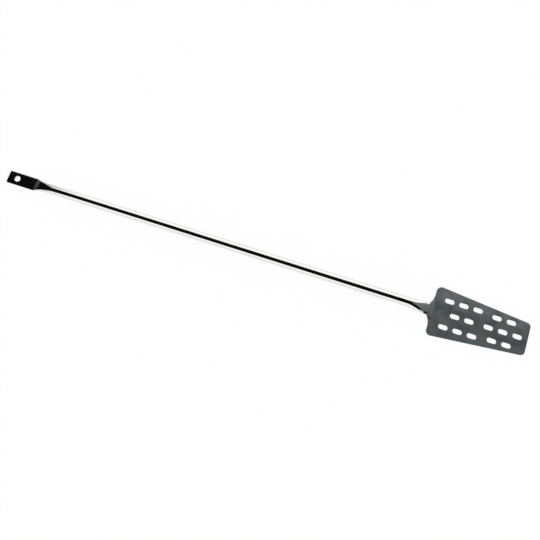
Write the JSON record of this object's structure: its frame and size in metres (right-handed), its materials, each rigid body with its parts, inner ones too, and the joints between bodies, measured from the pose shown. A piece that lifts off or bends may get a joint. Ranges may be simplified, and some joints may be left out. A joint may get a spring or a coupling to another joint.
{
  "type": "mash paddle",
  "caption": "Long stirring paddle: a tapered blade with staggered slots, welded in the pressed end of a round steel tube whose other end is a flat hanging tab.",
  "frame": {"origin": "centre of the hanging hole, midway through the flat tab", "axes": "+X runs along the handle from the tab to the blade's tip, +Z stands up out of the flat tab and the blade, and +Y completes the frame across the blade"},
  "size_m": [0.914, 0.0822, 0.0158],
  "materials": {
    "polished_tube": "mirror polished stainless steel",
    "satin_sheet": "satin stainless sheet, dark grey",
    "dressed_weld": "ground and dressed weld"
  },
  "bodies": {
    "root": {"handle_tube": "polished_tube", "blade": "satin_sheet", "top_weld": "dressed_weld", "under_weld": "dressed_weld"}
  },
  "joints": []
}
